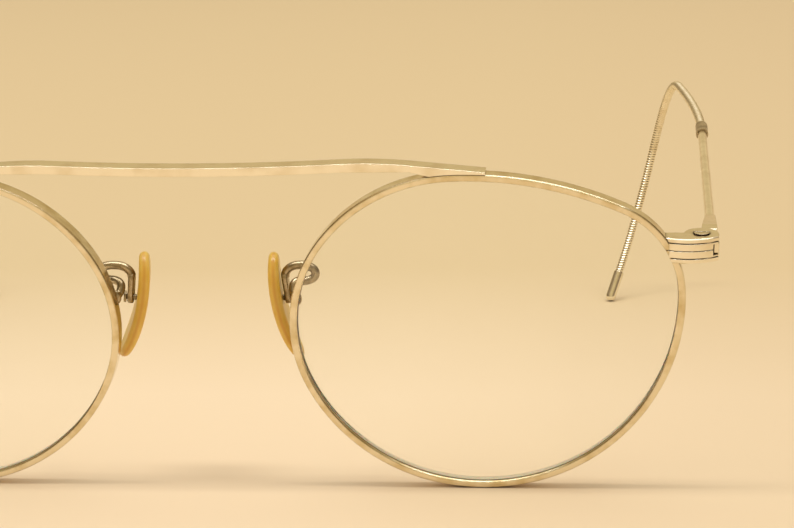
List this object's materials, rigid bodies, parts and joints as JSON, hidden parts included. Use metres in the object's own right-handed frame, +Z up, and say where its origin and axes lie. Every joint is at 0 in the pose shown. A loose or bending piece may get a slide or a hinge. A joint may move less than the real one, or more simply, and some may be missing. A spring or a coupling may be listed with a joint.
{
  "type": "wire-rim eyeglasses",
  "caption": "Full-rim wire spectacles with a straight brow bar, clear lenses, rocking amber nose pads and folding riding-bow temples with wound cable ends.",
  "frame": {"origin": "under the middle of the spectacles' bounding box, on the surface that the rims' bottoms and the two cable caps stand on", "axes": "+X to the wearer's left, +Y from the lenses back along the temples, +Z up"},
  "size_m": [0.129, 0.1082, 0.0406],
  "materials": {
    "rolled_gold": "polished rolled white gold, softly worn",
    "worn_fittings": "dull nickel silver",
    "core_wire": "drawn wire",
    "wound_cable": "closely wound fine wire",
    "lens_glass": "clear, polished",
    "amber_pad": "translucent amber celluloid"
  },
  "bodies": {
    "front": {"left_rim": "rolled_gold", "right_rim": "rolled_gold", "brow_bar": "rolled_gold", "left_lens": "lens_glass", "right_lens": "lens_glass", "left_pad_arm": "worn_fittings", "right_pad_arm": "worn_fittings", "left_upper_lug": "rolled_gold", "right_upper_lug": "rolled_gold", "left_lower_lug": "rolled_gold", "right_lower_lug": "rolled_gold", "left_hinge_screw": "worn_fittings", "right_hinge_screw": "worn_fittings"},
    "left_temple_assembly": {"left_temple": "rolled_gold", "left_ferrule": "worn_fittings", "left_cable_core": "core_wire", "left_ear_cable": "wound_cable", "left_cable_cap": "rolled_gold"},
    "left_pad": {"left_nose_pad": "amber_pad", "left_pad_rivet": "worn_fittings"},
    "right_temple_assembly": {"right_temple": "rolled_gold", "right_ferrule": "worn_fittings", "right_cable_core": "core_wire", "right_ear_cable": "wound_cable", "right_cable_cap": "rolled_gold"},
    "right_pad": {"right_nose_pad": "amber_pad", "right_pad_rivet": "worn_fittings"}
  },
  "joints": [
    {"name": "left_temple_fold", "type": "hinge", "parent": "front", "child": "left_temple_assembly", "pos_m": [0.06106, -0.05106, 0.03011], "axis": [0.0209, -0.1105, 0.9937], "range_deg": [-4.5, 80]},
    {"name": "right_temple_fold", "type": "hinge", "parent": "front", "child": "right_temple_assembly", "pos_m": [-0.05584, -0.05106, 0.03011], "axis": [-0.0209, 0.1105, -0.9937], "range_deg": [0, 84.5]},
    {"name": "left_pad_rock", "type": "hinge", "parent": "front", "child": "left_pad", "pos_m": [0.01221, -0.04726, 0.02309], "axis": [-0.1132, -0.1098, 0.9875], "range_deg": [-20, 4]},
    {"name": "right_pad_rock", "type": "hinge", "parent": "front", "child": "right_pad", "pos_m": [-0.00699, -0.04726, 0.02309], "axis": [0.1132, -0.1098, 0.9875], "range_deg": [-20, 4]}
  ]
}
